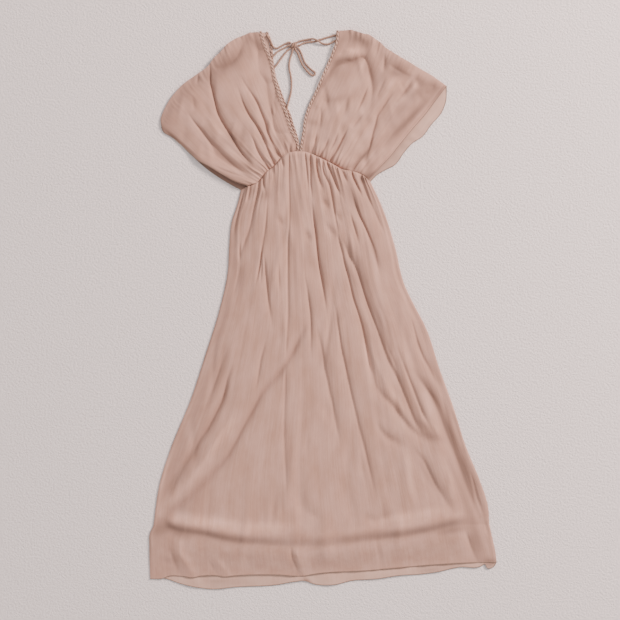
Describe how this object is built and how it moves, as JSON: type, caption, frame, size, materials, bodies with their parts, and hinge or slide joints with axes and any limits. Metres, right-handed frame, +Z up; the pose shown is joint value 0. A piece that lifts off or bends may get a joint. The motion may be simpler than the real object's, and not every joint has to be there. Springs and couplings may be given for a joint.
{
  "type": "pleated chiffon maxi dress",
  "caption": "Long flared chiffon dress laid flat: deep V neck with braided trim and a tied bow, wide kimono sleeves, gathered waist, finely pleated skirt over a shorter lining.",
  "frame": {"origin": "middle of the laid-out dress's outline, on the surface that it lies on", "axes": "+Y from hem to shoulders, +X towards the picture's right sleeve, +Z up out of the front"},
  "size_m": [0.9023, 1.4504, 0.0157],
  "materials": {
    "chiffon": "matt, crinkled",
    "lining": "smooth, matt",
    "braid": "looped braid",
    "tie": "rolled cloth"
  },
  "bodies": {
    "root": {"front_skirt": "chiffon", "back_skirt": "chiffon", "lining_front": "lining", "lining_back": "lining", "front_bodice_left": "chiffon", "front_bodice_right": "chiffon", "back_bodice_left": "chiffon", "back_bodice_right": "chiffon", "front_braid_left": "braid", "front_braid_right": "braid", "back_braid_left": "braid", "back_braid_right": "braid", "tie_left_standing": "tie", "tie_left_loop": "tie", "tie_left_tail": "tie", "tie_right_standing": "tie", "tie_right_loop": "tie", "tie_right_tail": "tie", "tie_knot": "tie"}
  },
  "joints": []
}
